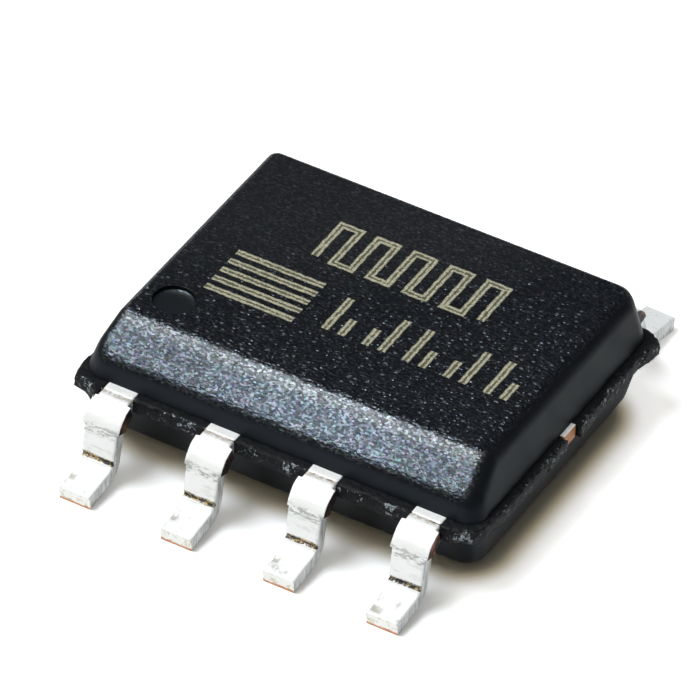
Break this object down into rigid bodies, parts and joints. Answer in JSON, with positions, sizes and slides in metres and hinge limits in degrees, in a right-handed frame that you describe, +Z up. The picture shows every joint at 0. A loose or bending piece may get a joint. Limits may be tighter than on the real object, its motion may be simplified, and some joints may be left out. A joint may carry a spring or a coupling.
{
  "type": "small-outline integrated circuit",
  "caption": "Small-outline surface-mount integrated circuit: moulded resin body with a pin-1 bevel and dimple, two rows of gull-wing leads, die and bond wires inside.",
  "frame": {"origin": "on the seating plane, under the middle of the moulded body", "axes": "+X along the rows of leads, so that leads 1 to 4 run left to right along the front (-Y) row; +Y from the front row to the back row; +Z up, away from the board"},
  "size_m": [0.0052, 0.0062, 0.0015],
  "materials": {
    "resin": "black mould compound, fine spark-eroded texture on top, smooth satin walls",
    "tinned_lead": "matt tin plating over copper, lightly scuffed at the bends, bare copper on the cut edges",
    "copper_frame": "rolled copper lead frame, tin plated where it shows on top",
    "die_attach_epoxy": "silver-filled epoxy",
    "silicon": "polished silicon",
    "gold_wire": "drawn gold wire"
  },
  "bodies": {
    "root": {"moulded_body": "resin", "lead_1": "tinned_lead", "lead_2": "tinned_lead", "lead_3": "tinned_lead", "lead_4": "tinned_lead", "lead_5": "tinned_lead", "lead_6": "tinned_lead", "lead_7": "tinned_lead", "lead_8": "tinned_lead", "die_paddle": "copper_frame", "die_attach": "die_attach_epoxy", "silicon_die": "silicon", "bond_wire_1": "gold_wire", "bond_wire_2": "gold_wire", "bond_wire_3": "gold_wire", "bond_wire_4": "gold_wire", "bond_wire_5": "gold_wire", "bond_wire_6": "gold_wire", "bond_wire_7": "gold_wire", "bond_wire_8": "gold_wire"}
  },
  "joints": []
}
